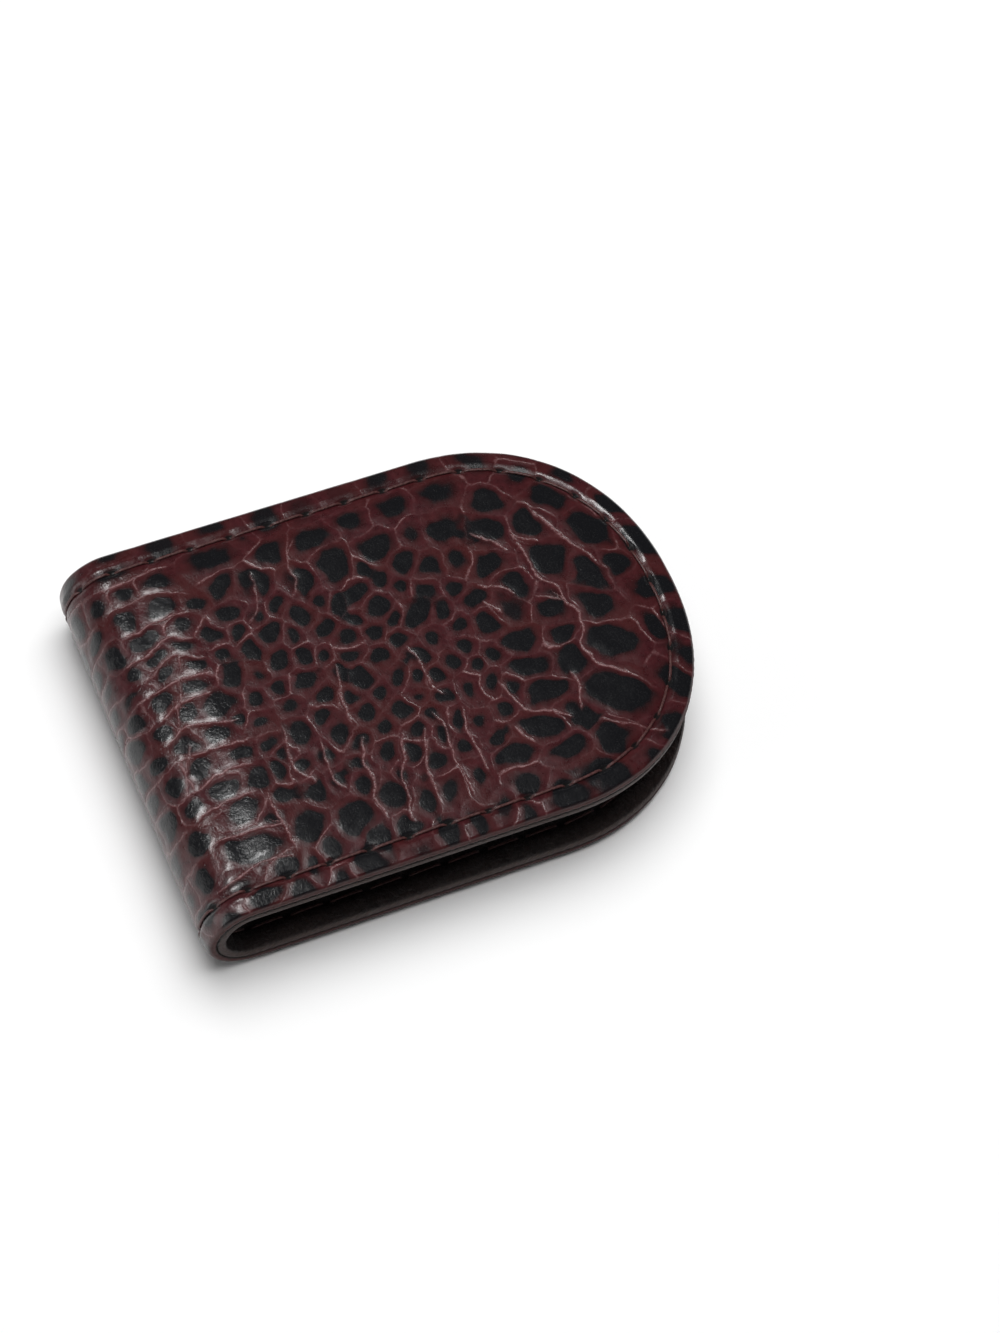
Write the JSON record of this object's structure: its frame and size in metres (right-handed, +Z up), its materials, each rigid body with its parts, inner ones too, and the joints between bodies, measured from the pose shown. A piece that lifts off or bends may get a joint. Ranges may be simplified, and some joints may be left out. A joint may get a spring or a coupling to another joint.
{
  "type": "magnetic leather money clip",
  "caption": "Folded leather strip with rounded ends and hidden magnets that grips folded banknotes.",
  "frame": {"origin": "bottom centre of the box: middle of the length and width, on the resting face of the lower panel", "axes": "+X from the fold to the rounded tips, +Y across the strip to the rear side edge, +Z up from the lower panel to the flap"},
  "size_m": [0.0654, 0.0488, 0.0124],
  "materials": {
    "cover_leather": "embossed, semi-gloss",
    "lining_leather": "smooth, satin",
    "stiffening_board": "matt",
    "plated_magnet": "bright nickel plate",
    "waxed_thread": "waxed"
  },
  "bodies": {
    "back_panel": {"back_cover": "cover_leather", "back_lining": "lining_leather", "back_board": "stiffening_board", "back_rear_magnet": "plated_magnet", "back_front_magnet": "plated_magnet", "back_needle_thread": "waxed_thread", "back_bobbin_thread": "waxed_thread"},
    "spine": {"spine_cover": "cover_leather", "spine_lining": "lining_leather", "spine_needle_thread": "waxed_thread", "spine_bobbin_thread": "waxed_thread"},
    "flap": {"flap_cover": "cover_leather", "flap_lining": "lining_leather", "flap_board": "stiffening_board", "flap_rear_magnet": "plated_magnet", "flap_front_magnet": "plated_magnet", "flap_needle_thread": "waxed_thread", "flap_bobbin_thread": "waxed_thread"}
  },
  "joints": [
    {"name": "lower_fold", "type": "hinge", "parent": "back_panel", "child": "spine", "pos_m": [-0.03053, 0, 0.00267], "axis": [0, -1, 0], "range_deg": [-2.6, 90], "stiffness_Nm_per_rad": 0.08, "springref_deg": 1.72},
    {"name": "upper_fold", "type": "hinge", "parent": "spine", "child": "flap", "pos_m": [-0.03053, 0, 0.00973], "axis": [0, -1, 0], "range_deg": [-2.6, 90], "stiffness_Nm_per_rad": 0.08, "springref_deg": 1.72}
  ],
  "couplings": [
    {"joint": "upper_fold", "follows": "lower_fold", "ratio": 1}
  ]
}
